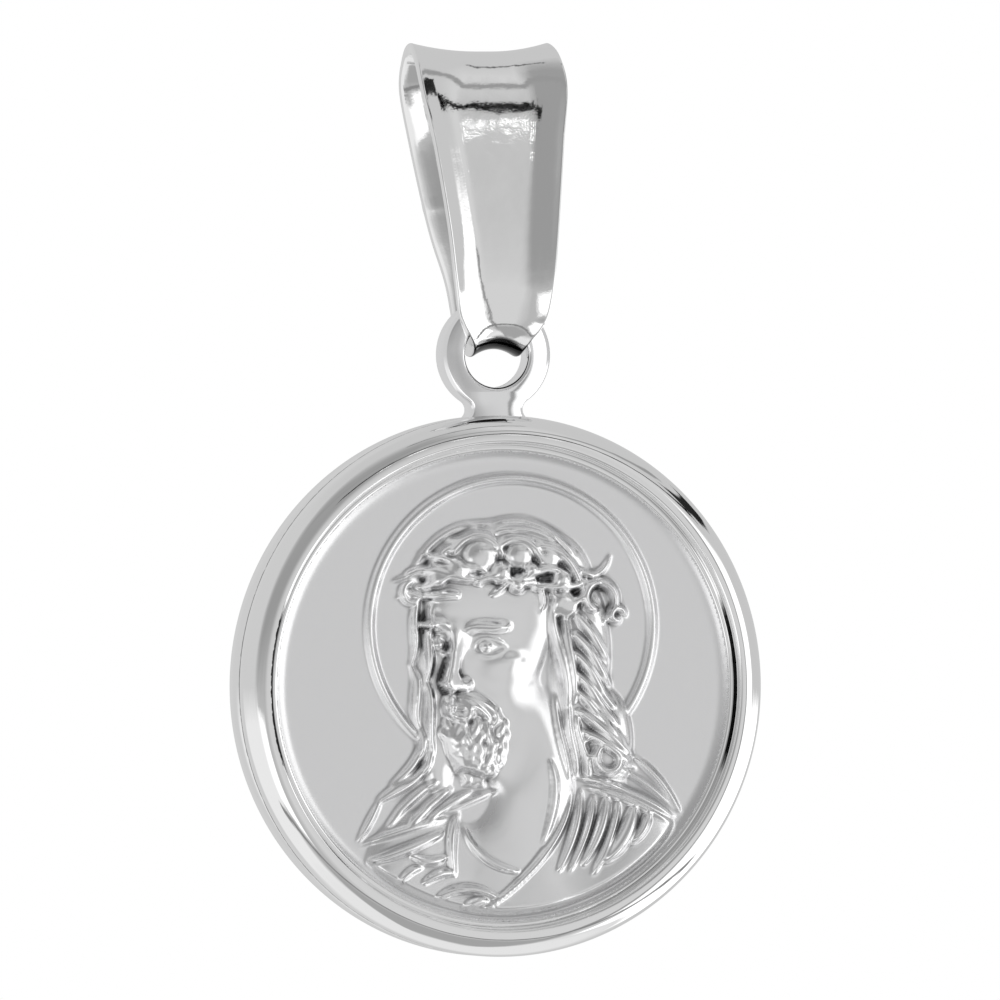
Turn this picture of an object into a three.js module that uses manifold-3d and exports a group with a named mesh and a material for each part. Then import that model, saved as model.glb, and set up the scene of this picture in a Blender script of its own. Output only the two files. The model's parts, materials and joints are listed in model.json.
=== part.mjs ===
// A small round religious medal that hangs from a folded bail.
// Millimetres, +Z up. The front faces -Y. The origin is the inside top of the bail, where a chain runs.
// The medal is one soldered body: rim, ledge, field, halo, bust, plain back and eye.
// The real body is struck as two thin shells. Here it is filled, because a sealed hollow can't be closed.
import * as THREE from "three";
import { mergeVertices } from "three/addons/utils/BufferGeometryUtils.js";
import Module from "manifold-3d";

// Medal disc
const discRadius = 8;
const rimHalfThickness = 1.25;
const rimBand = 0.82;
const rimOuterRound = 0.7;
const rimInnerRound = 0.1;
const ledgeWidth = 0.22;
const ledgeLevel = 0.86;
const fieldLevel = 0.72;
const fieldFillet = 0.36;
const backLevel = 0.85;
const backFillet = 0.2;

// Eye on top of the rim
const eyeStandoff = 1.8;
const eyeRadius = 1.655;
const eyeHoleRadius = 1.03;
const eyeThickness = 0.94;
const eyeBevel = 0.13;
const eyeFillet = 0.3;
const eyeFilletSink = 0.05;
const eyeSink = 0.5;

// Bail
const bailStock = 0.34;
const bailFoldPlay = 0.25;
const bailSeatPlay = 0.53;
const bailRise = 7.6;
const bailDepth = 2.1;
const bailLean = 0.27;
const bailWidth = 4.7;
const bailFlare = 0.36;
const foldWidth = 1.5;
const foldFlare = 0.27;

// Halo on the field
const haloRadius = 4.36;
const haloWidth = 0.34;
const haloHeight = 0.11;
const haloMargin = 0.65;
const haloAcross = 0.27;

// Bust on the field
const headHeight = 6.6;
const headAcross = -0.1;
const headUp = 1.5;
const headTurn = 34;
const headNod = 9;
const headLean = -3;
const reliefEdge = 0.15;
const reliefHeight = 0.86;
const reliefMargin = 0.1;
const reliefFade = 0.35;
const massScale = 0.155;
const featureScale = 0.34;

// Facets
const rimSides = 76;
const headPitch = 0.205;
const fieldPitch = 0.27;
const innerRings = 20;
const outerRings = 10;
const loopSteps = 52;

const degrees = Math.PI / 180;
const innerRadius = discRadius - rimBand;
const fieldRadius = innerRadius - ledgeWidth;
const haloUp = fieldRadius - haloMargin - haloWidth / 2 - haloRadius;

// The bail's fold lies round the top bar of the eye
const eyeRise = discRadius + eyeStandoff;
const eyeBarBottom = eyeRise + eyeHoleRadius;
const foldInnerRadius = eyeThickness / 2 + bailFoldPlay;
const foldRadius = foldInnerRadius + bailStock / 2;
const foldRise = eyeBarBottom - bailSeatPlay + foldInnerRadius;

// Where a chain runs: the inside of the bail's top turn, which leans a little behind the medal
const seatRise = foldRise + bailRise - bailStock / 2;
const seatDepth = bailLean * bailDepth;

// Every form and stroke of the bust is a share of headHeight, from the middle of the head.
// A form has its middle and half sizes across, up and out, and the softness of its join to the rest.

// Broad masses of the head, which turn with it and are mirrored across it
const headMasses = [
  { name: "skull", at: [0, 0.13, -0.06], half: [0.345, 0.37, 0.42], soft: 0.01 },
  { name: "face", at: [0, -0.1, 0.1], half: [0.245, 0.36, 0.265], soft: 0.08 },
  { name: "cheek", at: [0.13, -0.15, 0.2], half: [0.095, 0.12, 0.12], soft: 0.06 },
  { name: "jaw", at: [0.1, -0.32, 0.1], half: [0.13, 0.13, 0.18], soft: 0.08 },
  { name: "chin", at: [0, -0.43, 0.23], half: [0.11, 0.08, 0.11], soft: 0.06 },
  { name: "beard", at: [0, -0.43, 0.17], half: [0.2, 0.17, 0.2], soft: 0.06 },
];

// Features of the face, which turn with the head and are mirrored across it
const headFeatures = [
  { name: "cheekbone", at: [0.165, -0.075, 0.235], half: [0.075, 0.045, 0.08], soft: 0.05 },
  { name: "brow", at: [0.115, 0.09, 0.31], half: [0.12, 0.034, 0.08], soft: 0.035 },
  { name: "nose root", at: [0, 0.05, 0.33], half: [0.035, 0.06, 0.055], soft: 0.04 },
  { name: "nose ridge", at: [0, -0.06, 0.385], half: [0.036, 0.13, 0.06], soft: 0.03 },
  { name: "nose ball", at: [0, -0.155, 0.425], half: [0.043, 0.04, 0.055], soft: 0.02 },
  { name: "nostril", at: [0.045, -0.17, 0.385], half: [0.03, 0.03, 0.045], soft: 0.02 },
  { name: "lip mound", at: [0, -0.285, 0.31], half: [0.105, 0.06, 0.085], soft: 0.05 },
  { name: "upper lip", at: [0.03, -0.268, 0.36], half: [0.055, 0.018, 0.042], soft: 0.012 },
  { name: "lower lip", at: [0, -0.315, 0.357], half: [0.066, 0.022, 0.044], soft: 0.012 },
];
const eyeSocket = { at: [0.126, 0.012, 0.4], half: [0.08, 0.048, 0.09], soft: 0.045 };
const eyeBall = { at: [0.124, -0.002, 0.275], half: [0.06, 0.044, 0.068], soft: 0.008 };

// Masses of the neck, hair and shoulders, which face the front
const bodyMasses = [
  { name: "neck", at: [0.159, -0.621, -0.045], half: [0.22, 0.455, 0.273], soft: 0.061 },
  { name: "chest", at: [0.061, -1.197, -0.136], half: [0.515, 0.455, 0.348], soft: 0.091 },
  { name: "left shoulder", at: [-0.364, -1.076, -0.136], half: [0.318, 0.348, 0.303], soft: 0.091 },
  { name: "right shoulder", at: [0.53, -1, -0.136], half: [0.348, 0.379, 0.333], soft: 0.091 },
  { name: "hair cap", at: [0.038, 0.242, -0.076], half: [0.417, 0.295, 0.394], soft: 0.045 },
  { name: "left hair", at: [-0.318, -0.288, -0.106], half: [0.114, 0.47, 0.212], soft: 0.045 },
  { name: "right hair", at: [0.356, -0.106, -0.061], half: [0.174, 0.439, 0.318], soft: 0.045 },
  { name: "right lock", at: [0.485, -0.485, -0.061], half: [0.144, 0.273, 0.258], soft: 0.061 },
  { name: "curl", at: [0.462, 0.144, 0.03], half: [0.094, 0.091, 0.136], soft: 0.023 },
];

// Raised strokes: both ends across and up, sideways bow, width and height
const hairLocks = [
  { from: [0.22, 0.167], to: [0.341, -0.303], bow: 0.03, width: 0.094, height: 0.026 },
  { from: [0.318, 0.106], to: [0.53, -0.212], bow: 0.045, width: 0.094, height: 0.03 },
  { from: [0.348, -0.03], to: [0.561, -0.348], bow: 0.045, width: 0.091, height: 0.03 },
  { from: [0.356, -0.167], to: [0.606, -0.47], bow: 0.042, width: 0.091, height: 0.03 },
  { from: [0.356, -0.303], to: [0.644, -0.576], bow: 0.038, width: 0.091, height: 0.03 },
  { from: [0.288, -0.288], to: [0.394, -0.652], bow: -0.038, width: 0.091, height: 0.029 },
  { from: [0.364, -0.439], to: [0.545, -0.652], bow: -0.038, width: 0.085, height: 0.027 },
  { from: [-0.348, 0.136], to: [-0.394, -0.303], bow: -0.03, width: 0.085, height: 0.024 },
  { from: [-0.333, -0.136], to: [-0.409, -0.591], bow: -0.045, width: 0.085, height: 0.024 },
  { from: [-0.318, -0.439], to: [-0.545, -0.727], bow: 0.03, width: 0.085, height: 0.024 },
  { from: [-0.348, 0.364], to: [-0.045, 0.492], bow: 0.03, width: 0.082, height: 0.02 },
  { from: [-0.03, 0.5], to: [0.333, 0.364], bow: 0.038, width: 0.082, height: 0.021 },
];
const robeFolds = [
  { from: [0.379, -0.682], to: [-0.121, -1.258], bow: 0.083, width: 0.092, height: 0.039 },
  { from: [-0.174, -0.848], to: [0.083, -1.061], bow: -0.053, width: 0.082, height: 0.035 },
  { from: [0.386, -0.727], to: [0.28, -1.045], bow: 0.015, width: 0.085, height: 0.043 },
  { from: [0.477, -0.727], to: [0.364, -1.076], bow: 0.015, width: 0.085, height: 0.043 },
  { from: [0.576, -0.758], to: [0.485, -1.045], bow: 0.015, width: 0.095, height: 0.048 },
  { from: [0.667, -0.803], to: [0.621, -0.97], bow: 0.015, width: 0.082, height: 0.039 },
  { from: [0.455, -0.667], to: [0.833, -0.848], bow: -0.015, width: 0.089, height: 0.039 },
  { from: [-0.227, -0.818], to: [-0.182, -1.076], bow: 0.023, width: 0.082, height: 0.033 },
  { from: [-0.424, -0.697], to: [-0.606, -0.879], bow: 0.023, width: 0.085, height: 0.035 },
  { from: [-0.303, -0.712], to: [-0.485, -0.894], bow: 0.023, width: 0.085, height: 0.035 },
  { from: [-0.167, -0.727], to: [-0.348, -0.848], bow: 0.018, width: 0.085, height: 0.033 },
  { from: [-0.636, -0.985], to: [-0.258, -0.864], bow: -0.023, width: 0.089, height: 0.038 },
  { from: [-0.439, -1.045], to: [-0.242, -0.985], bow: -0.015, width: 0.082, height: 0.033 },
  { from: [-0.333, -1.152], to: [-0.061, -1.136], bow: 0.023, width: 0.082, height: 0.033 },
];
const thorns = [
  { from: [-0.273, 0.318], to: [-0.485, 0.371], bow: 0.012, width: 0.061, height: 0.027 },
  { from: [-0.303, 0.25], to: [-0.5, 0.242], bow: 0.012, width: 0.061, height: 0.024 },
  { from: [0.364, 0.273], to: [0.53, 0.364], bow: -0.018, width: 0.061, height: 0.027 },
  { from: [-0.182, 0.379], to: [-0.273, 0.462], bow: 0, width: 0.061, height: 0.024 },
  { from: [0.167, 0.379], to: [0.242, 0.47], bow: 0, width: 0.061, height: 0.024 },
  { from: [0.045, 0.288], to: [-0.045, 0.189], bow: 0, width: 0.061, height: 0.024 },
  { from: [0.197, 0.258], to: [0.182, 0.136], bow: 0, width: 0.061, height: 0.024 },
];
const strokeSteps = 12;
const strokeTip = 0.45;

// Woven thorn crown: an arch over the brow with two strands that cross
const crown = {
  halfSpan: 0.455,
  up: 0.265,
  sag: 0.076,
  weave: 0.041,
  turns: 3.5,
  width: 0.082,
  height: 0.039,
  steps: 28,
};

// Curls of the beard in rows on the head, each with a half span and a count
const beardRows = [
  { up: -0.365, halfSpan: 0.175, count: 5 },
  { up: -0.43, halfSpan: 0.17, count: 5 },
  { up: -0.495, halfSpan: 0.14, count: 4 },
  { up: -0.555, halfSpan: 0.07, count: 2 },
];
const beardFront = 0.36;
const beardTurn = 0.5;
const curl = { width: 0.082, height: 0.018 };

// Distance helpers for the modelled forms

function softUnion(a, b, soft) {
  const overlap = Math.max(soft - Math.abs(a - b), 0) / soft;
  return Math.min(a, b) - overlap * overlap * soft * 0.25;
}

function softCut(a, b, soft) {
  return -softUnion(-a, b, soft);
}

function ellipsoidDistance(point, form) {
  const [wide, tall, deep] = form.half;
  const x = point.x - form.at[0];
  const y = point.y - form.at[1];
  const z = point.z - form.at[2];
  const scaled = Math.hypot(x / wide, y / tall, z / deep);
  const slope = Math.hypot(x / wide ** 2, y / tall ** 2, z / deep ** 2);
  return slope > 0 ? (scaled * (scaled - 1)) / slope : -Math.min(wide, tall, deep);
}

function joined(distance, point, forms) {
  return forms.reduce((sum, form) => softUnion(sum, ellipsoidDistance(point, form), form.soft), distance);
}

const headPose = new THREE.Matrix4().makeRotationFromEuler(
  new THREE.Euler(headNod * degrees, -headTurn * degrees, headLean * degrees, "ZYX"),
);
const headInverse = headPose.clone().invert();

function bustDistance(place, withFeatures) {
  const point = place.clone().applyMatrix4(headInverse);
  point.x = Math.abs(point.x);
  let distance = joined(ellipsoidDistance(point, headMasses[0]), point, headMasses.slice(1));
  if (withFeatures) {
    distance = joined(distance, point, headFeatures);
    distance = softCut(distance, ellipsoidDistance(point, eyeSocket), eyeSocket.soft);
    distance = softUnion(distance, ellipsoidDistance(point, eyeBall), eyeBall.soft);
  }
  return joined(distance, place, bodyMasses);
}

// How far the bust stands towards the viewer at a place on the field, found by stepping in from the front
const march = { front: 0.68, steps: 70, reach: 0.8, touch: 0.0005 };

function bustDepth(across, up, withFeatures) {
  const place = new THREE.Vector3(across, up, march.front);
  for (let step = 0; step < march.steps && place.z > 0; step += 1) {
    const distance = bustDistance(place, withFeatures);
    if (distance < march.touch) {
      return place.z;
    }
    place.z -= Math.max(distance * march.reach, march.touch);
  }
  return 0;
}

// Raised strokes, all in shares of the head's height

function strokePoint(stroke, share) {
  const alongAcross = stroke.to[0] - stroke.from[0];
  const alongUp = stroke.to[1] - stroke.from[1];
  const length = Math.hypot(alongAcross, alongUp);
  const side = stroke.bow * Math.sin(Math.PI * share);
  return {
    across: stroke.from[0] + alongAcross * share - (alongUp / length) * side,
    up: stroke.from[1] + alongUp * share + (alongAcross / length) * side,
  };
}

function ridge(distance, width, height) {
  const share = distance / (width / 2);
  return share < 1 ? height * 0.5 * (1 + Math.cos(Math.PI * share)) : 0;
}

function strokeHeight(stroke, across, up) {
  let best = 0;
  for (let step = 0; step <= strokeSteps; step += 1) {
    const share = step / strokeSteps;
    const spot = strokePoint(stroke, share);
    const taper = strokeTip + (1 - strokeTip) * Math.sin(Math.PI * share);
    const distance = Math.hypot(across - spot.across, up - spot.up);
    best = Math.max(best, ridge(distance, stroke.width * taper, stroke.height * taper));
  }
  return best;
}

function crownHeightAt(across, up) {
  let best = 0;
  for (let step = 0; step <= crown.steps; step += 1) {
    const share = (step / crown.steps) * 2 - 1;
    const middleUp = crown.up + crown.sag * (1 - share * share);
    const weave = crown.weave * Math.sin(crown.turns * Math.PI * share);
    for (const side of [-1, 1]) {
      const distance = Math.hypot(across - crown.halfSpan * share, up - middleUp - side * weave);
      best = Math.max(best, ridge(distance, crown.width, crown.height));
    }
  }
  return best;
}

const beardCurls = [];
for (const row of beardRows) {
  for (let index = 0; index < row.count; index += 1) {
    const side = ((index / (row.count - 1)) * 2 - 1) * row.halfSpan;
    const out = beardFront - beardTurn * Math.abs(side);
    beardCurls.push(new THREE.Vector3(side, row.up, out).applyMatrix4(headPose));
  }
}

function curlHeightAt(across, up) {
  let best = 0;
  for (const spot of beardCurls) {
    best = Math.max(best, ridge(Math.hypot(across - spot.x, up - spot.y), curl.width, curl.height));
  }
  return best;
}

// The halo's band has a flat top with a slope at each side
const haloSlope = 0.25;

function haloHeightAt(across, up) {
  const distance = Math.abs(Math.hypot(across - haloAcross, up - haloUp) - haloRadius);
  const share = (haloWidth / 2 - distance) / (haloWidth * haloSlope);
  return haloHeight * THREE.MathUtils.clamp(share, 0, 1);
}

// Height of everything raised on the field, fading out before the ledge
function reliefAt(across, up) {
  const headSide = (across - headAcross) / headHeight;
  const headRise = (up - headUp) / headHeight;
  const mass = bustDepth(headSide, headRise, false);
  const full = bustDepth(headSide, headRise, true);
  let height = 0;
  if (full > 0) {
    const strokes = [...hairLocks, ...robeFolds].map((stroke) => strokeHeight(stroke, headSide, headRise));
    const raised = massScale * mass + featureScale * (full - mass);
    height = reliefEdge + headHeight * (raised + Math.max(curlHeightAt(headSide, headRise), ...strokes));
  }
  const spikes = thorns.map((thorn) => strokeHeight(thorn, headSide, headRise));
  height += headHeight * Math.max(crownHeightAt(headSide, headRise), ...spikes);
  height = Math.max(height, haloHeightAt(across, up));
  const room = fieldRadius - reliefMargin - Math.hypot(across, up);
  return Math.min(height, reliefHeight) * THREE.MathUtils.smoothstep(room, 0, reliefFade);
}

// Rings of points joined into one closed skin

function arcProfile(centreRadius, centreLevel, round, fromDegrees, toDegrees, steps) {
  const points = [];
  for (let step = 0; step <= steps; step += 1) {
    const angle = (fromDegrees + ((toDegrees - fromDegrees) * step) / steps) * degrees;
    points.push({
      radius: centreRadius + round * Math.cos(angle),
      level: centreLevel + round * Math.sin(angle),
    });
  }
  return points;
}

// Rim section from the ledge over the front, round the outside and in to the flat back
function rimProfile() {
  const top = rimHalfThickness;
  return [
    { radius: fieldRadius, level: ledgeLevel },
    { radius: innerRadius, level: ledgeLevel },
    ...arcProfile(innerRadius + rimInnerRound, top - rimInnerRound, rimInnerRound, 180, 90, 2),
    ...arcProfile(discRadius - rimOuterRound, top - rimOuterRound, rimOuterRound, 90, 0, 4),
    ...arcProfile(discRadius - rimOuterRound, rimOuterRound - top, rimOuterRound, 0, -90, 4),
    ...arcProfile(innerRadius + rimInnerRound, rimInnerRound - top, rimInnerRound, -90, -180, 2),
    { radius: innerRadius, level: -backLevel },
  ];
}

function fieldHeight(radius) {
  const rise = THREE.MathUtils.smoothstep(radius, fieldRadius - fieldFillet, fieldRadius);
  return fieldLevel + (ledgeLevel - fieldLevel) * rise * rise;
}

function ringSolid(rings) {
  const positions = [];
  const triangles = [];
  const starts = [];
  for (const ring of rings) {
    starts.push(positions.length / 3);
    for (const point of ring) {
      positions.push(...point);
    }
  }
  for (let index = 0; index + 1 < rings.length; index += 1) {
    const inner = rings[index].length;
    const outer = rings[index + 1].length;
    let a = 0;
    let b = 0;
    while (a < inner || b < outer) {
      const fromA = starts[index] + (a % inner);
      const fromB = starts[index + 1] + (b % outer);
      const stepOuter = inner === 1 || (outer > 1 && (b + 1) * inner <= (a + 1) * outer);
      if (stepOuter && b < outer) {
        triangles.push(fromA, fromB, starts[index + 1] + ((b + 1) % outer));
        b += 1;
        a = inner === 1 && b === outer ? inner : a;
      } else {
        triangles.push(fromA, fromB, starts[index] + ((a + 1) % inner));
        a += 1;
        b = outer === 1 && a === inner ? outer : b;
      }
    }
  }
  const geometry = new THREE.BufferGeometry();
  geometry.setAttribute("position", new THREE.Float32BufferAttribute(positions, 3));
  geometry.setIndex(triangles);
  return geometry;
}

function circleRing(radius, count, level) {
  const ring = [];
  for (let index = 0; index < count; index += 1) {
    const angle = (index / count) * 2 * Math.PI;
    ring.push([radius * Math.cos(angle), radius * Math.sin(angle), level]);
  }
  return ring;
}

// A ring on the field: round the halo's centre inside the halo, easing out to the disc's centre
function fieldRing(radius) {
  const haloOuter = haloRadius + haloWidth / 2;
  const ease = THREE.MathUtils.clamp((fieldRadius - radius) / (fieldRadius - haloOuter), 0, 1);
  const pitch = radius > haloOuter ? fieldPitch : headPitch;
  const count = Math.max(Math.round((2 * Math.PI * radius) / pitch), 1);
  return circleRing(radius, count, 0).map(([x, y]) => {
    const across = x + haloAcross * ease;
    const up = y + haloUp * ease;
    return [across, up, fieldHeight(Math.hypot(across, up)) + reliefAt(across, up)];
  });
}

function fieldRadii() {
  const haloInner = haloRadius - haloWidth / 2;
  const haloOuter = haloRadius + haloWidth / 2;
  const radii = [];
  for (let ring = 0; ring <= innerRings; ring += 1) {
    radii.push((haloInner * ring) / innerRings);
  }
  radii.push(haloInner + haloWidth * haloSlope, haloOuter - haloWidth * haloSlope);
  for (let ring = 0; ring < outerRings; ring += 1) {
    radii.push(haloOuter + ((fieldRadius - haloOuter) * ring) / outerRings);
  }
  return radii;
}

function discGeometry() {
  const rings = fieldRadii().map(fieldRing);
  for (const point of rimProfile()) {
    rings.push(circleRing(point.radius, rimSides, point.level));
  }
  rings.push(circleRing(innerRadius - backFillet, rimSides, -backLevel));
  rings.push(circleRing(0, 1, -backLevel));
  return ringSolid(rings);
}

// Eye: a round tab with a hole, whose fillets run into the rim
function eyeGeometry() {
  const seat = discRadius - eyeFilletSink;
  const filletUp = ((seat + eyeFillet) ** 2 - (eyeRadius + eyeFillet) ** 2 + eyeRise ** 2) / (2 * eyeRise);
  const filletAcross = Math.sqrt((seat + eyeFillet) ** 2 - filletUp ** 2);
  const toEye = Math.atan2(eyeRise - filletUp, -filletAcross);
  const toDisc = Math.atan2(-filletUp, -filletAcross);
  const fromEye = toEye - Math.PI;
  const outline = new THREE.Shape();
  outline.moveTo(0, discRadius - eyeSink);
  const footAcross = filletAcross + eyeFillet * Math.cos(toDisc);
  outline.lineTo(footAcross, discRadius - eyeSink);
  outline.absarc(filletAcross, filletUp, eyeFillet, toDisc, toEye, true);
  outline.absarc(0, eyeRise, eyeRadius, fromEye, Math.PI - fromEye, false);
  outline.absarc(-filletAcross, filletUp, eyeFillet, Math.PI - toEye, Math.PI - toDisc, true);
  outline.lineTo(-footAcross, discRadius - eyeSink);
  outline.closePath();
  const hole = new THREE.Path();
  hole.absarc(0, eyeRise, eyeHoleRadius, 0, 2 * Math.PI, true);
  outline.holes.push(hole);
  const geometry = new THREE.ExtrudeGeometry(outline, {
    depth: eyeThickness - 2 * eyeBevel,
    bevelThickness: eyeBevel,
    bevelSize: eyeBevel,
    bevelOffset: -eyeBevel,
    bevelSegments: 2,
    curveSegments: 14,
  });
  geometry.translate(0, 0, eyeBevel - eyeThickness / 2);
  return geometry;
}

// Bail: where the strip runs seen from the side, and how wide and flared it is.
// Up is a share of bailRise, depth of bailDepth, left and right of bailWidth, flare of bailFlare.
// Panel is the flat share of each half of the strip.
const bailStations = [
  { up: 0.13, depth: -0.48, left: 0.33, right: 0.325, flare: 0.85, panel: 0.3 },
  { up: 0.34, depth: -0.43, left: 0.365, right: 0.36, flare: 1, panel: 0.4 },
  { up: 0.67, depth: -0.27, left: 0.435, right: 0.42, flare: 1, panel: 0.5 },
  { up: 0.86, depth: -0.13, left: 0.49, right: 0.465, flare: 0.9, panel: 0.45 },
  { up: 0.965, depth: 0.06, left: 0.5, right: 0.45, flare: 0.8, panel: 0.15 },
  { up: 1, depth: bailLean, left: 0.5, right: 0.42, flare: 0.75, panel: 0.1 },
  { up: 0.965, depth: 0.48, left: 0.5, right: 0.45, flare: 0.8, panel: 0.15 },
  { up: 0.86, depth: 0.66, left: 0.49, right: 0.46, flare: 0.9, panel: 0.45 },
  { up: 0.67, depth: 0.72, left: 0.42, right: 0.42, flare: 1, panel: 0.5 },
  { up: 0.34, depth: 0.56, left: 0.32, right: 0.32, flare: 1, panel: 0.4 },
  { up: 0.13, depth: 0.47, left: 0.23, right: 0.23, flare: 0.85, panel: 0.25 },
];

// The fold round the eye's bar: turn in degrees from straight down, width as a share of foldWidth
const foldStations = [
  { turn: 80, width: 1.2 },
  { turn: 50, width: 1.04 },
  { turn: 20, width: 1 },
  { turn: -10, width: 1 },
  { turn: -32, width: 1.06 },
  { turn: -52, width: 1.25 },
  { turn: -70, width: 1.6 },
  { turn: -90, width: 1.84 },
];

function bailKeys() {
  const keys = [];
  for (const station of bailStations) {
    keys.push({
      place: new THREE.Vector3(0, station.depth * bailDepth, foldRise + station.up * bailRise),
      left: station.left * bailWidth,
      right: station.right * bailWidth,
      flare: station.flare * bailFlare,
      panel: station.panel,
    });
  }
  for (const station of foldStations) {
    const turn = station.turn * degrees;
    const depth = Math.sin(turn) * foldRadius;
    keys.push({
      place: new THREE.Vector3(0, depth, foldRise - Math.cos(turn) * foldRadius),
      left: (station.width * foldWidth) / 2,
      right: (station.width * foldWidth) / 2,
      flare: foldFlare,
      panel: 0,
    });
  }
  return keys;
}

function cyclic(values, place) {
  const count = values.length;
  const index = Math.floor(place);
  const share = place - index;
  const before = values[(index - 1 + count) % count];
  const here = values[index % count];
  const next = values[(index + 1) % count];
  const after = values[(index + 2) % count];
  const slopeHere = (next - before) / 2;
  const slopeNext = (after - here) / 2;
  const square = share * share;
  const cube = square * share;
  return (2 * cube - 3 * square + 1) * here + (cube - 2 * square + share) * slopeHere
    + (3 * square - 2 * cube) * next + (cube - square) * slopeNext;
}

// Columns of points across the strip, and how far ahead its direction is taken
const sectionColumns = [-1, -0.8, -0.6, -0.35, 0, 0.35, 0.6, 0.8, 1];
const aheadShare = 0.01;

function bailGeometry() {
  const keys = bailKeys();
  const column = (pick) => keys.map(pick);
  const depths = column((key) => key.place.y);
  const rises = column((key) => key.place.z);
  const rings = [];
  for (let step = 0; step < loopSteps; step += 1) {
    const place = (step / loopSteps) * keys.length;
    const depth = cyclic(depths, place);
    const rise = cyclic(rises, place);
    const alongDepth = cyclic(depths, place + aheadShare) - depth;
    const alongRise = cyclic(rises, place + aheadShare) - rise;
    const length = Math.hypot(alongDepth, alongRise);
    const outDepth = -alongRise / length;
    const outRise = alongDepth / length;
    const left = cyclic(column((key) => key.left), place);
    const right = cyclic(column((key) => key.right), place);
    const flare = cyclic(column((key) => key.flare), place);
    const panel = Math.max(cyclic(column((key) => key.panel), place), 0);
    const outer = [];
    const inner = [];
    for (const share of sectionColumns) {
      const across = share < 0 ? share * left : share * right;
      const bend = Math.max((Math.abs(share) - panel) / (1 - panel), 0) ** 2 * flare;
      const outside = bend + bailStock / 2;
      const inside = bend - bailStock / 2;
      outer.push([across, depth + outDepth * outside, rise + outRise * outside]);
      inner.push([across, depth + outDepth * inside, rise + outRise * inside]);
    }
    rings.push([...outer, ...inner.reverse()]);
  }
  return loopSolid(rings);
}

function loopSolid(rings) {
  const around = rings[0].length;
  const positions = rings.flat(2);
  const triangles = [];
  for (let ring = 0; ring < rings.length; ring += 1) {
    const here = ring * around;
    const next = ((ring + 1) % rings.length) * around;
    for (let index = 0; index < around; index += 1) {
      const after = (index + 1) % around;
      triangles.push(here + index, here + after, next + after);
      triangles.push(here + index, next + after, next + index);
    }
  }
  const geometry = new THREE.BufferGeometry();
  geometry.setAttribute("position", new THREE.Float32BufferAttribute(positions, 3));
  geometry.setIndex(triangles);
  return geometry;
}

// Joining closed shapes

const mergeReach = 1e-4;
const wasm = await Module();
wasm.setup();

function toSolid(geometry) {
  const bare = geometry.clone();
  bare.deleteAttribute("normal");
  bare.deleteAttribute("uv");
  const merged = mergeVertices(bare, mergeReach);
  return new wasm.Manifold(new wasm.Mesh({
    numProp: 3,
    vertProperties: new Float32Array(merged.attributes.position.array),
    triVerts: new Uint32Array(merged.index.array),
  }));
}

function toGeometry(solid) {
  const mesh = solid.getMesh();
  const geometry = new THREE.BufferGeometry();
  geometry.setAttribute("position", new THREE.Float32BufferAttribute(mesh.vertProperties, 3));
  geometry.setIndex([...mesh.triVerts]);
  return geometry;
}

// Materials
const fieldSilver = new THREE.MeshStandardMaterial({ color: 0xd2d2d3, roughness: 0.38, metalness: 1 });
const polishedSilver = new THREE.MeshStandardMaterial({ color: 0xdededf, roughness: 0.14, metalness: 1 });

// Assembly
const medal = new THREE.Mesh(toGeometry(toSolid(discGeometry()).add(toSolid(eyeGeometry()))), fieldSilver);
medal.name = "medal";
medal.rotation.x = Math.PI / 2;

const bail = new THREE.Mesh(bailGeometry(), polishedSilver);
bail.name = "bail";

const pendant = new THREE.Group();
pendant.add(medal, bail);
pendant.position.set(0, -seatDepth, -seatRise);

export default pendant;
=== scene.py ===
import json
import math

import bpy
import numpy as np
from mathutils import Matrix, Vector


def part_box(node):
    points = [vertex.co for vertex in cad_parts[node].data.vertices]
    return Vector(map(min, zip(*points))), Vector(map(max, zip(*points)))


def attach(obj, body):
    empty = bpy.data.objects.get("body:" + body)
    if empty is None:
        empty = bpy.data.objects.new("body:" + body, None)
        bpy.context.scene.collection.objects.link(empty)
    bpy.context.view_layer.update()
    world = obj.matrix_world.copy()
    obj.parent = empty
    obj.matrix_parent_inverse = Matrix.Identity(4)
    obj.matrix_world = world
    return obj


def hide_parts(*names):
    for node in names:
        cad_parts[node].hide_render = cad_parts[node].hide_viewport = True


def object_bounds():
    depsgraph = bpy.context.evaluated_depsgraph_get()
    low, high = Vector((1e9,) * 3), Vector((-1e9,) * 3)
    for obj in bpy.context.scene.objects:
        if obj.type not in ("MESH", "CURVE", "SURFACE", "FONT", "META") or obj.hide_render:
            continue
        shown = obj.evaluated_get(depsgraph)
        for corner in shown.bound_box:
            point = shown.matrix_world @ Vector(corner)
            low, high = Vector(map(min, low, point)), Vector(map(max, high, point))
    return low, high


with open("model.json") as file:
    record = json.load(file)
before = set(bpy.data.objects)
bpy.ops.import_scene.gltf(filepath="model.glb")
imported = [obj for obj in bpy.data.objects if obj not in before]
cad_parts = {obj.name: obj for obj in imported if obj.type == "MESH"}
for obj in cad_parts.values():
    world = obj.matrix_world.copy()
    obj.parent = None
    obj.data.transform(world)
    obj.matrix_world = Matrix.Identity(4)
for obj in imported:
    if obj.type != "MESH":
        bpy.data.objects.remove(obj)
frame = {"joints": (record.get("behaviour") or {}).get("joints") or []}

MM = 0.001
weld_gap = 1e-7
cad_low, cad_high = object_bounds()

# Where the middle of the medal's disc is in the frame
disc_radius = 8.0
centre_depth = frame["joints"][0]["pos_m"][1] / MM
centre_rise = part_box("medal")[0].z / MM + disc_radius

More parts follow.
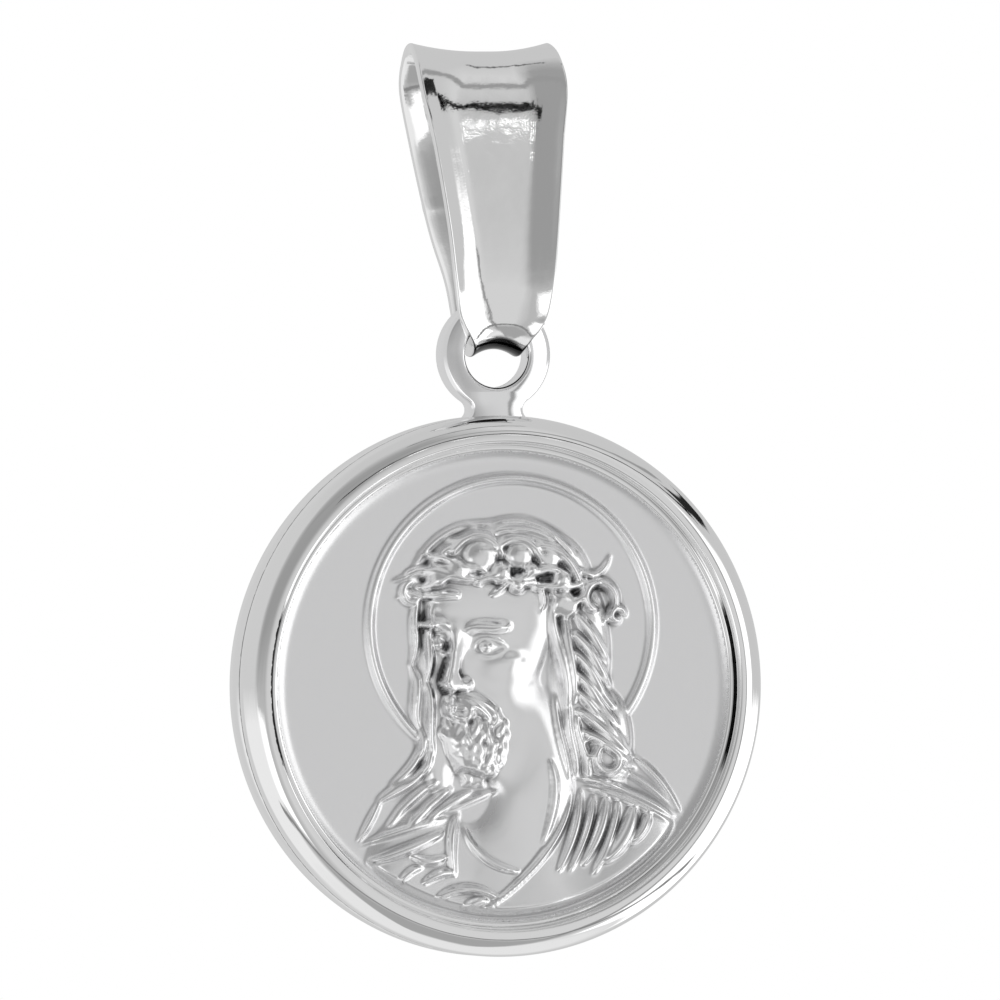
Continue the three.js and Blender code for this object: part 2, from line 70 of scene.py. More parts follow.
# Disc
rim_half_thickness = 1.25
rim_band = 0.82
rim_outer_round = 0.7
rim_inner_round = 0.1
rim_sides = 288
rim_inner_steps = 8
rim_front_steps = 24
rim_back_steps = 20
back_steps = 6
ledge_width = 0.22
ledge_level = 0.86
ledge_lip = 0.02
ledge_foot = 0.05
foot_share = 0.3
field_level = 0.72
field_fillet = 0.36
field_step = 0.04
field_under = 0.2
field_pitch = 0.047
back_level = 0.85
back_fillet = 0.2
back_rings = (5.2, 3.4, 1.7)
shelf_level = 0.45
shelf_width = 0.3
seam_level = 0.43
seam_size = 0.03
inner_radius = disc_radius - rim_band
field_radius = inner_radius - ledge_width

# Eye
eye_rise = 9.8
eye_radius = 1.655
eye_hole_radius = 1.03
hole_lip = 0.06
eye_thickness = 0.94
eye_bevel = 0.13
eye_fillet = 0.3
eye_fillet_sink = 0.05
eye_sink = 0.5
eye_steps = 90
eye_fillet_steps = 14
eye_hole_steps = 72
eye_bevel_steps = 4

# Bail
bail_stock = 0.34
bail_fold_play = 0.25
bail_seat_play = 0.53
bail_rise = 7.6
bail_depth = 2.1
bail_width = 4.7
bail_flare = 0.36
fold_width = 1.5
fold_flare = 0.27
bail_edge_round = 0.09
bail_solder_rise = 14.2
bail_solder_height = 0.035
bail_solder_width = 0.07
bail_steps = 320
bail_face_steps = 45
bail_edge_steps = 5
bail_slope_step = 0.01
fold_inner_radius = eye_thickness / 2 + bail_fold_play
fold_radius = fold_inner_radius + bail_stock / 2
fold_rise = eye_rise + eye_hole_radius - bail_seat_play + fold_inner_radius

# Halo and bust
halo_across = 0.27
halo_up = 1.78
halo_radius = 4.36
halo_width = 0.34
halo_height = 0.11
halo_slope = 0.1
head_height = 6.6
head_across = -0.1
head_up = 1.5
head_turn = 34.0
head_nod = 9.0
head_lean = -3.0


def place(across, up, out):
    """A point of the medal in the frame, in metres."""
    return (across * MM, (centre_depth - out) * MM, (centre_rise + up) * MM)


def add_object(name, data):
    added = bpy.data.objects.new(name, data)
    bpy.context.scene.collection.objects.link(added)
    return added


def mesh_piece(name, points, faces, body):
    """A mesh from medal points in millimetres, riding on a body."""
    mesh = bpy.data.meshes.new(name)
    points = np.asarray(points, float)
    world = np.empty_like(points)
    world[:, 0] = points[:, 0] * MM
    world[:, 1] = (centre_depth - points[:, 2]) * MM
    world[:, 2] = (centre_rise + points[:, 1]) * MM
    mesh.from_pydata(world.tolist(), [], [list(map(int, face)) for face in faces])
    mesh.update()
    mesh.polygons.foreach_set("use_smooth", [True] * len(mesh.polygons))
    piece = add_object(name, mesh)
    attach(piece, body)
    return piece


# Modelled forms of the bust, found by stepping in from the front


def soft_union(a, b, soft):
    overlap = np.maximum(soft - np.abs(a - b), 0) / soft
    return np.minimum(a, b) - overlap * overlap * soft * 0.25


def soft_cut(a, b, soft):
    return -soft_union(-a, b, soft)


def ellipsoid(point, form):
    """Distance to an ellipsoid given as centre, half sizes and softness."""
    across, up, out, wide, tall, deep = form[:6]
    x = point[0] - across
    y = point[1] - up
    z = point[2] - out
    scaled = np.sqrt((x / wide) ** 2 + (y / tall) ** 2 + (z / deep) ** 2)
    slope = np.sqrt((x / wide**2) ** 2 + (y / tall**2) ** 2 + (z / deep**2) ** 2)
    return scaled * (scaled - 1) / np.maximum(slope, 1e-6)


def rod(point, start, end, start_round, end_round):
    """Distance to a round bar whose thickness runs from one end's to the other's."""
    along = np.subtract(end, start)
    share = sum((point[axis] - start[axis]) * along[axis] for axis in range(3)) / (along @ along)
    share = np.clip(share, 0, 1)
    gap = [point[axis] - start[axis] - share * along[axis] for axis in range(3)]
    away = np.sqrt(gap[0] ** 2 + gap[1] ** 2 + gap[2] ** 2)
    return away - start_round - (end_round - start_round) * share


# Head forms as shares of its height: across, up, out, half width, half height, half depth, softness
HEAD_SKULL = (0, 0.13, -0.06, 0.345, 0.37, 0.42, 0.01)
HEAD_MASSES = {
    "face": (0, -0.1, 0.1, 0.245, 0.36, 0.265, 0.08),
    "cheek": (0.13, -0.15, 0.2, 0.095, 0.12, 0.12, 0.06),
    "jaw": (0.1, -0.32, 0.1, 0.13, 0.13, 0.18, 0.08),
    "chin": (0, -0.43, 0.23, 0.11, 0.08, 0.11, 0.06),
    "beard": (0, -0.43, 0.17, 0.2, 0.17, 0.2, 0.06),
}
HEAD_FEATURES = {
    "cheekbone": (0.165, -0.075, 0.235, 0.075, 0.045, 0.08, 0.05),
    "brow": (0.115, 0.088, 0.3, 0.115, 0.028, 0.078, 0.035),
    "nose root": (0, 0.05, 0.33, 0.032, 0.06, 0.05, 0.04),
    "nose ball": (0, -0.158, 0.425, 0.04, 0.038, 0.052, 0.02),
    "nostril": (0.042, -0.17, 0.385, 0.028, 0.028, 0.045, 0.018),
    "lip mound": (0, -0.285, 0.31, 0.105, 0.06, 0.085, 0.05),
    "upper lip": (0.03, -0.27, 0.365, 0.052, 0.015, 0.038, 0.012),
    "lower lip": (0, -0.312, 0.362, 0.064, 0.021, 0.04, 0.012),
}
# The ridge of the nose: start, end, the rounding at each, and softness
NOSE_RIDGE = ((0, 0.045, 0.362), (0, -0.145, 0.452), 0.022, 0.033, 0.03)
EYE_SOCKET = (0.126, 0.012, 0.4, 0.078, 0.046, 0.088, 0.045)
EYE_BALL = (0.124, -0.002, 0.272, 0.06, 0.044, 0.066, 0.006)

# Neck, hair and shoulders in millimetres
BODY_MASSES = {
    "neck": (0.95, -2.6, -0.3, 1.45, 3.0, 1.8, 0.8),
    "chest": (0.3, -6.4, -0.9, 3.4, 3.0, 2.3, 1.0),
    "left shoulder": (-2.5, -5.6, -0.9, 2.1, 2.3, 2.0, 0.6),
    "right shoulder": (3.4, -5.1, -0.9, 2.3, 2.5, 2.2, 0.6),
    "hair crown": (0.15, 3.1, -0.5, 2.75, 1.95, 2.6, 0.3),
    "left hair": (-1.95, -0.4, -0.45, 0.85, 3.1, 1.5, 0.5),
    "right hair": (2.25, 0.8, -0.4, 1.15, 2.9, 2.1, 0.3),
    "right lock": (3.1, -1.7, -0.4, 0.95, 1.8, 1.7, 0.4),
}

# How the front of the forms is searched for: from where, how often, how close and in what strides
search_start = 4.4
search_steps = 70
search_close = 0.003
search_stride = 0.8


def head_axes():
    turn = Matrix.Rotation(math.radians(-head_turn), 3, "Y")
    nod = Matrix.Rotation(math.radians(head_nod), 3, "X")
    lean = Matrix.Rotation(math.radians(head_lean), 3, "Z")
    return np.array(lean @ turn @ nod)


HEAD_AXES = head_axes()


def add_forms(distance, point, forms):
    for form in forms:
        distance = soft_union(distance, ellipsoid(point, form), form[6])
    return distance


def head_distance(across, up, out, fine):
    """Distance to the head, which is the same to both sides of its own middle."""
    gap = [across - head_across, up - head_up, out]
    point = [sum(axis * part for axis, part in zip(column, gap)) / head_height for column in HEAD_AXES.T]
    point[0] = np.abs(point[0])
    distance = ellipsoid(point, HEAD_SKULL)
    distance = add_forms(distance, point, HEAD_MASSES.values())
    if fine:
        distance = add_forms(distance, point, HEAD_FEATURES.values())
        distance = soft_cut(distance, ellipsoid(point, EYE_SOCKET), EYE_SOCKET[6])
        distance = soft_union(distance, ellipsoid(point, EYE_BALL), EYE_BALL[6])
        distance = soft_union(distance, rod(point, *NOSE_RIDGE[:4]), NOSE_RIDGE[4])
    return distance * head_height


def bust_depth(across, up, fine):
    """How far the bust stands out at each place, or nothing where there is none."""
    out = np.full(across.shape, search_start)
    alive = np.ones(across.shape, bool)
    hit = np.zeros(across.shape, bool)
    for _ in range(search_steps):
        index = np.nonzero(alive)[0]
        if len(index) == 0:
            break
        point = (across[index], up[index], out[index])
        distance = head_distance(*point, fine)
        distance = add_forms(distance, point, BODY_MASSES.values())
        reached = distance < search_close
        hit[index[reached]] = True
        alive[index[reached]] = False
        out[index[~reached]] -= np.maximum(distance[~reached] * search_stride, search_close)
        alive[out < 0] = False
    return np.where(hit, out, 0.0)


# Raised strokes on the field: steps along one, how its width and height swell, how round its ridge is
stroke_steps = 36
stroke_swell = 0.6
stroke_round = 0.8
stroke_tip = 0.3
knob_round = 0.4
curl_steps = 30
curl_tighter = 0.55
curl_tip = 0.5
blur_reach = 3


def smooth(share):
    """A share held between nothing and one, easing in and out."""
    share = np.clip(share, 0, 1)
    return share * share * (3 - 2 * share)


def bend(points, steps):
    """Points along a smooth curve from the first point to the last, towards those between."""
    points = np.asarray(points, float)
    share = np.linspace(0, 1, steps)[:, None]
    degree = len(points) - 1
    curve = np.zeros((steps, 2))
    for index, point in enumerate(points):
        weight = math.comb(degree, index) * share**index * (1 - share) ** (degree - index)
        curve += weight * point
    return curve


class Relief:
    """A square grid of heights over the field, in millimetres."""

    def __init__(self, pitch):
        self.pitch = pitch
        half = math.ceil(field_radius / pitch) + 1
        line = np.arange(-half, half + 1) * pitch
        self.line = line
        self.across, self.up = np.meshgrid(line, line)
        self.raised = np.zeros_like(self.across)

    def window(self, points, margin):
        low = points.min(0) - margin
        high = points.max(0) + margin
        x0, x1 = np.searchsorted(self.line, [low[0], high[0]])
        y0, y1 = np.searchsorted(self.line, [low[1], high[1]])
        return slice(y0, y1), slice(x0, x1)

    def stroke(self, points, width, height, tip=stroke_tip):
        """A rounded ridge along a curve, narrower and lower towards its two ends."""
        self.trail(bend(points, stroke_steps), width, height, tip)

    def trail(self, path, width, height, tip):
        area = self.window(path, width)
        x, y = self.across[area], self.up[area]
        best = self.raised[area]
        last = len(path) - 1
        for index, (px, py) in enumerate(path):
            swell = tip + (1 - tip) * math.sin(math.pi * index / last) ** stroke_swell
            reach = width / 2 * swell
            near = 1 - ((x - px) ** 2 + (y - py) ** 2) / reach**2
            best = np.maximum(best, height * swell * np.maximum(near, 0) ** stroke_round)
        self.raised[area] = best

    def knob(self, across, up, radius, height):
        """A round lump."""
        area = self.window(np.array([[across, up]]), radius)
        near = 1 - ((self.across[area] - across) ** 2 + (self.up[area] - up) ** 2) / radius**2
        self.raised[area] = np.maximum(self.raised[area], height * np.maximum(near, 0) ** knob_round)

    def curl(self, across, up, radius, start, sweep, width, height):
        """A small coiled lock: an arc that tightens inwards."""
        turns = np.linspace(0, 1, curl_steps)
        angle = np.radians(start + sweep * turns)
        reach = radius * (1 - curl_tighter * turns)
        path = np.stack([across + reach * np.cos(angle), up + reach * np.sin(angle)], axis=1)
        self.trail(path, width, height, curl_tip)

    def blurred(self, values, size):
        """The heights softened over a distance."""
        reach = math.ceil(blur_reach * size / self.pitch)
        offsets = np.arange(-reach, reach + 1) * self.pitch
        weights = np.exp(-0.5 * (offsets / size) ** 2)
        weights /= weights.sum()
        padded = np.pad(values, reach, mode="edge")
        rows = np.apply_along_axis(lambda line: np.convolve(line, weights, "valid"), 0, padded)
        return np.apply_along_axis(lambda line: np.convolve(line, weights, "valid"), 1, rows)


def head_on_field(across, up, out):
    """Where a point of the head, given as shares of its height, is on the field."""
    spot = HEAD_AXES @ np.array([across, up, out]) * head_height
    return spot[0] + head_across, spot[1] + head_up


# Strokes of the hair: points that the curve runs from, towards and to, its width and its height
HAIR_STROKES = [
    (((1.5, 2.4), (1.45, 1.4), (1.95, 0.5), (1.9, -0.7)), 0.4, 0.22),
    (((1.9, 2.2), (1.75, 1.3), (2.2, 0.4), (2.1, -0.5)), 0.34, 0.2),
    (((2.2, 2.1), (2.6, 1.7), (2.75, 1.2), (3.2, 0.75)), 0.36, 0.22),
    (((2.1, 1.55), (2.6, 1.15), (2.75, 0.5), (3.3, 0.0)), 0.36, 0.22),
    (((2.1, 1.0), (2.6, 0.55), (2.8, -0.1), (3.35, -0.65)), 0.36, 0.22),
    (((2.1, 0.4), (2.6, 0.0), (2.9, -0.65), (3.45, -1.2)), 0.36, 0.22),
    (((2.15, -0.15), (2.65, -0.55), (3.0, -1.1), (3.65, -1.75)), 0.36, 0.22),
    (((2.2, -0.75), (2.8, -0.95), (3.1, -1.6), (4.0, -2.15)), 0.34, 0.22),
    (((2.3, -1.35), (2.9, -1.5), (3.3, -2.0), (4.1, -2.5)), 0.3, 0.18),
    (((1.95, -0.6), (1.8, -1.4), (2.3, -1.9), (2.25, -2.7)), 0.36, 0.2),
    (((2.2, -0.9), (2.2, -1.6), (2.6, -2.1), (2.55, -2.85)), 0.3, 0.18),
    (((1.55, -0.3), (1.6, -1.3), (1.9, -2.0), (2.0, -2.8)), 0.26, 0.14),
    (((-2.5, 2.7), (-2.95, 2.0), (-2.45, 1.4), (-2.85, 0.6)), 0.32, 0.18),
    (((-2.85, 0.7), (-2.45, 0.1), (-2.95, -0.6), (-2.6, -1.3)), 0.32, 0.18),
    (((-2.2, 2.4), (-2.55, 1.6), (-2.1, 0.9), (-2.45, 0.1)), 0.28, 0.16),
    (((-2.45, 0.2), (-2.1, -0.5), (-2.5, -1.2), (-2.2, -2.0)), 0.28, 0.16),
    (((-2.6, -1.2), (-2.3, -1.9), (-2.9, -2.5), (-3.5, -2.9)), 0.3, 0.18),
    (((-2.3, -1.9), (-2.3, -2.6), (-3.0, -2.9), (-3.9, -3.4)), 0.3, 0.18),
    (((-2.8, 3.4), (-2.2, 4.5), (-1.2, 4.9), (-0.4, 4.8)), 0.26, 0.12),
    (((-2.3, 3.5), (-1.7, 4.3), (-0.9, 4.6), (-0.2, 4.5)), 0.24, 0.11),
    (((-0.2, 4.85), (0.6, 5.1), (1.5, 4.8), (2.2, 3.8)), 0.26, 0.13),
    (((-0.3, 4.55), (0.5, 4.8), (1.3, 4.6), (1.9, 3.9)), 0.24, 0.12),
    (((-0.3, 4.3), (0.3, 4.5), (0.9, 4.4), (1.5, 4.1)), 0.22, 0.1),
]
# Coiled locks: across, up, radius, start and sweep in degrees, width and height
HAIR_CURLS = [
    (2.87, 2.55, 0.68, -70, 330, 0.34, 0.28),
    (3.5, 2.05, 0.26, 0, 330, 0.26, 0.26),
    (3.2, -2.2, 0.5, 100, 320, 0.26, 0.2),
    (2.65, -1.9, 0.36, 60, 300, 0.22, 0.16),
    (-2.75, 2.75, 0.4, 60, 300, 0.24, 0.16),
]
# Folds of the cloth: points, width and height
CLOTH_STROKES = [
    (((-2.5, -2.5), (-3.3, -2.9), (-3.9, -3.35)), 0.24, 0.16),
    (((-3.8, -3.3), (-4.1, -3.9), (-4.5, -4.55)), 0.22, 0.14),
    (((-2.1, -2.8), (-2.9, -3.2), (-3.6, -4.1)), 0.3, 0.14),
    (((-1.6, -3.0), (-2.3, -3.4), (-3.0, -4.15)), 0.32, 0.16),
    (((-1.0, -3.1), (-1.7, -3.4), (-2.4, -3.95)), 0.3, 0.15),
    (((-0.3, -3.1), (-1.1, -3.35), (-1.9, -3.75)), 0.28, 0.14),
    (((-4.47, -4.65), (-3.3, -4.2), (-1.7, -3.85)), 0.2, 0.12),
    (((-4.2, -5.12), (-3.1, -4.85), (-1.95, -4.3)), 0.3, 0.2),
    (((-2.98, -4.95), (-2.4, -5.3), (-1.84, -5.0)), 0.22, 0.16),
    (((-2.6, -5.8), (-2.1, -5.4), (-1.6, -5.5)), 0.22, 0.16),
    (((-3.3, -5.75), (-3.0, -5.35), (-2.6, -5.3)), 0.2, 0.12),
    (((-2.2, -6.25), (-1.3, -5.7), (-0.3, -6.25)), 0.24, 0.18),
    (((-1.4, -6.6), (-0.9, -6.2), (-0.6, -6.35)), 0.2, 0.14),
    (((-1.4, -3.7), (-1.85, -4.4), (-1.6, -5.6)), 0.3, 0.16),
    (((-1.25, -4.1), (-1.1, -5.0), (-0.2, -5.45), (0.4, -5.48)), 0.2, 0.16),
    (((2.1, -3.1), (1.9, -4.4), (0.8, -5.7), (-0.95, -6.75)), 0.2, 0.2),
    (((1.85, -3.4), (1.4, -4.9), (0.3, -6.0), (-1.1, -6.8)), 0.12, 0.1),
    (((1.35, -2.2), (1.75, -3.2), (1.1, -4.7)), 0.3, 0.1),
    (((2.35, -3.1), (2.3, -4.2), (1.6, -5.5)), 0.3, 0.2),
    (((2.75, -3.25), (2.6, -4.3), (1.95, -5.5)), 0.22, 0.18),
    (((3.15, -3.3), (3.0, -4.3), (2.35, -5.3)), 0.34, 0.22),
    (((3.5, -3.4), (3.3, -4.5), (2.65, -5.6)), 0.22, 0.16),
    (((3.95, -3.6), (3.8, -4.5), (3.0, -5.2)), 0.52, 0.24),
    (((4.4, -3.75), (4.3, -4.3), (3.8, -4.7)), 0.3, 0.2),
    (((2.1, -2.7), (3.6, -2.9), (5.35, -4.0)), 0.26, 0.18),
    (((2.4, -3.0), (3.6, -3.2), (5.2, -4.15)), 0.2, 0.14),
    (((3.9, -2.1), (4.7, -2.5), (5.45, -3.85)), 0.24, 0.16),
    (((3.5, -2.5), (4.4, -2.8), (5.3, -3.8)), 0.22, 0.14),
]
# Twigs of the woven crown: points, width and height
CROWN_TWIGS = [
    (((-2.9, 3.3), (-2.2, 3.7), (-1.7, 3.1), (-0.9, 3.2)), 0.34, 0.22),
    (((-2.6, 2.95), (-1.9, 3.0), (-1.4, 3.8), (-0.6, 3.4)), 0.3, 0.22),
    (((-1.6, 4.0), (-1.1, 4.7), (-0.4, 4.6), (-0.1, 3.9)), 0.3, 0.2),
    (((-0.9, 3.1), (-0.3, 3.5), (0.3, 2.9), (0.9, 3.1)), 0.34, 0.25),
    (((-0.3, 4.0), (0.2, 4.6), (0.9, 4.4), (1.1, 3.7)), 0.28, 0.2),
    (((0.1, 3.1), (0.8, 3.2), (1.2, 3.7), (1.8, 3.3)), 0.34, 0.24),
    (((0.9, 4.1), (1.6, 4.3), (2.1, 3.6), (2.4, 2.9)), 0.3, 0.2),
    (((0.9, 2.9), (1.5, 3.1), (1.9, 2.7), (2.5, 3.1)), 0.3, 0.22),
    (((1.5, 2.7), (2.0, 2.2), (2.5, 2.5), (2.5, 3.1)), 0.28, 0.22),
    (((-3.0, 2.9), (-2.5, 2.5), (-2.0, 2.8), (-1.5, 2.7)), 0.26, 0.16),
]
# Knots of the crown: across, up, radius and height
CROWN_KNOTS = [
    (-0.76, 3.85, 0.5, 0.17),
    (0.44, 3.85, 0.42, 0.18),
    (1.34, 3.8, 0.38, 0.16),
    (0.78, 3.42, 0.24, 0.3),
    (-0.15, 3.35, 0.34, 0.3),
    (-1.5, 3.45, 0.34, 0.24),
    (-2.1, 3.2, 0.28, 0.22),
    (1.75, 3.1, 0.32, 0.26),
    (1.85, 2.4, 0.42, 0.24),
    (0.35, 3.0, 0.26, 0.28),
]
# Thorns: points, width and height
THORNS = [
    (((-0.9, 3.3), (-1.7, 3.85), (-2.6, 3.95)), 0.17, 0.2),
    (((-0.75, 2.9), (-1.3, 3.7), (-2.45, 3.55)), 0.16, 0.2),
    (((-2.0, 3.2), (-2.7, 3.4), (-3.4, 3.1)), 0.18, 0.12),
    (((-2.2, 2.9), (-2.8, 2.75), (-3.3, 2.6)), 0.16, 0.12),
    (((2.2, 3.5), (3.0, 2.9), (3.35, 3.85)), 0.17, 0.2),
    (((-1.8, 4.35), (-1.2, 4.3), (-0.8, 4.75)), 0.15, 0.16),
    (((0.1, 4.5), (0.9, 4.9), (1.8, 4.1)), 0.15, 0.16),
    (((0.4, 3.4), (0.0, 2.9), (-0.5, 2.65)), 0.15, 0.16),
    (((0.9, 3.2), (1.35, 2.6), (1.1, 2.2)), 0.15, 0.16),
]
# Lines of the face: points as shares of the head (across, up, out), width and height
FACE_STROKES = [
    (((0.04, 0.07, 0.37), (0.1, 0.135, 0.36), (0.21, 0.07, 0.26)), 0.2, 0.05),
    (((0.055, -0.012, 0.32), (0.1, 0.06, 0.34), (0.16, 0.045, 0.31), (0.2, -0.015, 0.25)), 0.13, 0.09),
    (((0.07, 0.03, 0.33), (0.13, 0.085, 0.34), (0.20, 0.02, 0.26)), 0.08, 0.04),
    (((0.06, -0.014, 0.32), (0.12, -0.075, 0.32), (0.19, -0.018, 0.25)), 0.11, 0.06),
    (((0.0, -0.215, 0.4), (0.05, -0.205, 0.38), (0.13, -0.26, 0.31), (0.155, -0.37, 0.24)), 0.34, 0.13),
    (((0.01, -0.235, 0.4), (0.05, -0.245, 0.38), (0.1, -0.29, 0.33), (0.12, -0.36, 0.27)), 0.2, 0.15),
]
# The ball of the eye as a lump: across, up, out, radius and height
EYE_LUMP = (0.126, -0.002, 0.33, 0.17, 0.07)
# Lines of the mouth, laid out like those of the face
LIP_STROKES = [
    (((-0.07, -0.283, 0.33), (0.0, -0.258, 0.39), (0.07, -0.283, 0.33)), 0.13, 0.07),
    (((-0.055, -0.305, 0.33), (0.0, -0.335, 0.38), (0.055, -0.305, 0.33)), 0.19, 0.09),
]
# Tufts of the beard in rows: up and half span as shares of the head, and how many
BEARD_ROWS = [
    (-0.32, 0.14, 3),
    (-0.37, 0.165, 7),
    (-0.415, 0.17, 8),
    (-0.46, 0.16, 8),
    (-0.505, 0.14, 7),
    (-0.55, 0.1, 6),
    (-0.59, 0.05, 4),
]

# The beard's surface as shares of the head: how far out its middle is, how it falls back to the
# sides, and how it falls back above and below its fullest level
beard_out = 0.37
beard_side_fall = 1.6
beard_side_power = 1.6
beard_level = -0.4
beard_level_fall = 0.5

# A tuft in millimetres: its size, the ups of its four points, its waves to the side and how it leans.
# Tufts get smaller beyond tuft_full of the head to the side.
tuft_width = 0.36
tuft_height = 0.17
tuft_root = 0.24
tuft_upper = 0.12
tuft_lower = -0.16
tuft_end = -0.34
tuft_wave = 0.3
tuft_end_wave = 0.12
tuft_lean = -1.1
tuft_full = 0.06
tuft_shrink = 3.2

# The relief in millimetres: its edge on the field, shares of the forms' depths that it keeps, the
# sizes over which it is softened or made crisp, its top, where it eases to the top, and its fade
# towards the rim
relief_edge = 0.07
mass_scale = 0.1
volume_scale = 0.3
volume_size = 0.75
detail_scale = 0.42
crisp = 0.4
crisp_size = 0.22
last_blur = 0.85 * field_pitch
relief_top = 1.0
relief_knee = 0.75
relief_margin = 0.1
relief_fade = 0.35
# How a hollow is measured for the field's painted shade: the size it is softened over and the depth of
# full shade
hollow_size = 0.13
hollow_depth = 0.09
twig_tip = 0.7
thorn_tip = 0.2


def beard_tuft(relief, side, up_share, way):
    """A short waved lock that hangs from a place on the jaw and leans to the chin."""
    out = beard_out - beard_side_fall * abs(side) ** beard_side_power
    out -= beard_level_fall * abs(up_share - beard_level)
    across, up = head_on_field(side, up_share, out)
    lean = tuft_lean * side
    size = 1 - tuft_shrink * max(0.0, abs(side) - tuft_full)
    wave = tuft_wave * way * size
    path = [
        (across, up + tuft_root * size),
        (across + wave, up + tuft_upper * size),
        (across - wave + lean / 2, up + tuft_lower),
        (across + tuft_end_wave * way + lean, up + tuft_end),
    ]
    relief.stroke(path, tuft_width * size, tuft_height * size)


def beard_lines(relief):
    for row, (up_share, half_span, count) in enumerate(BEARD_ROWS):
        for index in range(count):
            side = (index / (count - 1) * 2 - 1) * half_span
            beard_tuft(relief, side, up_share, 1 if (row + index) % 2 else -1)


def face_lines(relief):
    eye_across, eye_up, eye_out, eye_round, eye_height = EYE_LUMP
    for side in (-1, 1):
        for points, width, height in FACE_STROKES:
            path = [head_on_field(side * across, up, out) for across, up, out in points]
            relief.stroke(path, width, height)
        relief.knob(*head_on_field(side * eye_across, eye_up, eye_out), eye_round, eye_height)
    for points, width, height in LIP_STROKES:
        relief.stroke([head_on_field(*point) for point in points], width, height)


def build_relief():
    """Heights of everything raised on the field, and how deep in a hollow each place lies."""
    relief = Relief(field_pitch)
    across, up = relief.across, relief.up
    radius = np.hypot(across, up)
    inside = radius < field_radius
    coarse = np.zeros_like(across)
    fine = np.zeros_like(across)
    coarse[inside] = bust_depth(across[inside], up[inside], False)
    fine[inside] = bust_depth(across[inside], up[inside], True)
    masses = mass_scale * coarse + volume_scale * (coarse - relief.blurred(coarse, volume_size))
    bust = np.where(fine > 0, relief_edge + masses + detail_scale * (fine - coarse), 0.0)

    for stroke in HAIR_STROKES + CLOTH_STROKES:
        relief.stroke(*stroke)
    for curl in HAIR_CURLS:
        relief.curl(*curl)
    for twig in CROWN_TWIGS:
        relief.stroke(*twig, twig_tip)
    for knot in CROWN_KNOTS:
        relief.knob(*knot)
    for thorn in THORNS:
        relief.stroke(*thorn, thorn_tip)
    beard_lines(relief)
    face_lines(relief)

    distance = np.abs(np.hypot(across - halo_across, up - halo_up) - halo_radius)
    halo = halo_height * smooth((halo_width / 2 - distance) / halo_slope)
    height = np.maximum(np.maximum(bust, 0) + relief.raised, halo)
    height = height + crisp * (height - relief.blurred(height, crisp_size))
    height = relief.blurred(np.maximum(height, 0), last_blur)
    height = height * smooth((field_radius - relief_margin - radius) / relief_fade)
    over = relief_top - relief_knee
    eased = relief_knee + over * np.tanh((height - relief_knee) / over)
    height = np.where(height > relief_knee, eased, height)
    relief.height = height
    # How deep in a hollow each place lies, used only for the painted shade in the field's colour
    relief.hollow = np.clip((relief.blurred(height, hollow_size) - height) / hollow_depth, 0, 1)
    return relief


def field_base(radius):
    """The field's own level, which rises to the ledge in a hollow curve."""
    rise = np.clip((radius - field_radius + field_fillet) / field_fillet, 0, 1)
    return field_level + (ledge_level - field_step - field_level) * rise * rise


# How near the field's edge, in steps of its grid, a point is kept and is moved onto the edge
edge_keep = 0.72
edge_move = 0.5


def open_edge(faces):
    """The points round the one open edge of a mesh, in order."""
    edges = {}
    for face in faces:
        for start, end in zip(face, face[1:] + face[:1]):
            if edges.pop((end, start), None) is None:
                edges[(start, end)] = True
    follow = dict(edges.keys())
    start = next(iter(follow))
    loop = [start]
    while follow[loop[-1]] != start:
        loop.append(follow[loop[-1]])
    return loop


def field_piece():
    """The struck field with its relief, as a closed disc that sits inside the rim."""
    relief = build_relief()
    across, up = relief.across, relief.up
    radius = np.hypot(across, up)
    edge = field_radius + ledge_lip
    near = radius < edge + field_pitch * edge_keep
    index = -np.ones(across.shape, int)
    cells = near[:-1, :-1] & near[1:, :-1] & near[:-1, 1:] & near[1:, 1:]
    used = np.zeros_like(near)
    for corner in (used[:-1, :-1], used[1:, :-1], used[:-1, 1:], used[1:, 1:]):
        corner |= cells
    index[used] = np.arange(used.sum())
    x, y = across[used], up[used]
    reach = np.hypot(x, y)
    outer = reach > edge - field_pitch * edge_move
    pull = np.where(outer, edge / np.maximum(reach, field_pitch), 1.0)
    x, y = x * pull, y * pull
    level = field_base(np.hypot(x, y)) + relief.height[used]
    top = np.stack([x, y, level], axis=1)
    row, column = np.nonzero(cells)
    corners = [index[row + down, column + along] for down, along in ((0, 0), (0, 1), (1, 1), (1, 0))]
    faces = np.stack(corners, axis=1).tolist()
    loop = open_edge(faces)
    count = len(top)
    low = top[loop].copy()
    low[:, 2] = field_under
    points = np.concatenate([top, low, [[0, 0, field_under]]])
    centre = count + len(loop)
    for here, vertex in enumerate(loop):
        after = (here + 1) % len(loop)
        faces.append([loop[after], vertex, count + here, count + after])
        faces.append([count + after, count + here, centre])
    piece = mesh_piece("struck_field", points, faces, "medal")
    # The hollow depths go on the mesh for the painted shade in the field's colour
    hollow = piece.data.attributes.new("hollow", "FLOAT", "POINT")
    depths = np.zeros(len(points))
    depths[:count] = relief.hollow[used]
    hollow.data.foreach_set("value", depths)
    return piece


# Rim and back


def arc(centre_radius, centre_level, size, start, end, steps):
    """Points of radius and level along an arc between two turns in degrees."""
    turns = np.radians(np.linspace(start, end, steps + 1))
    return [(centre_radius + size * math.cos(t), centre_level + size * math.sin(t)) for t in turns]


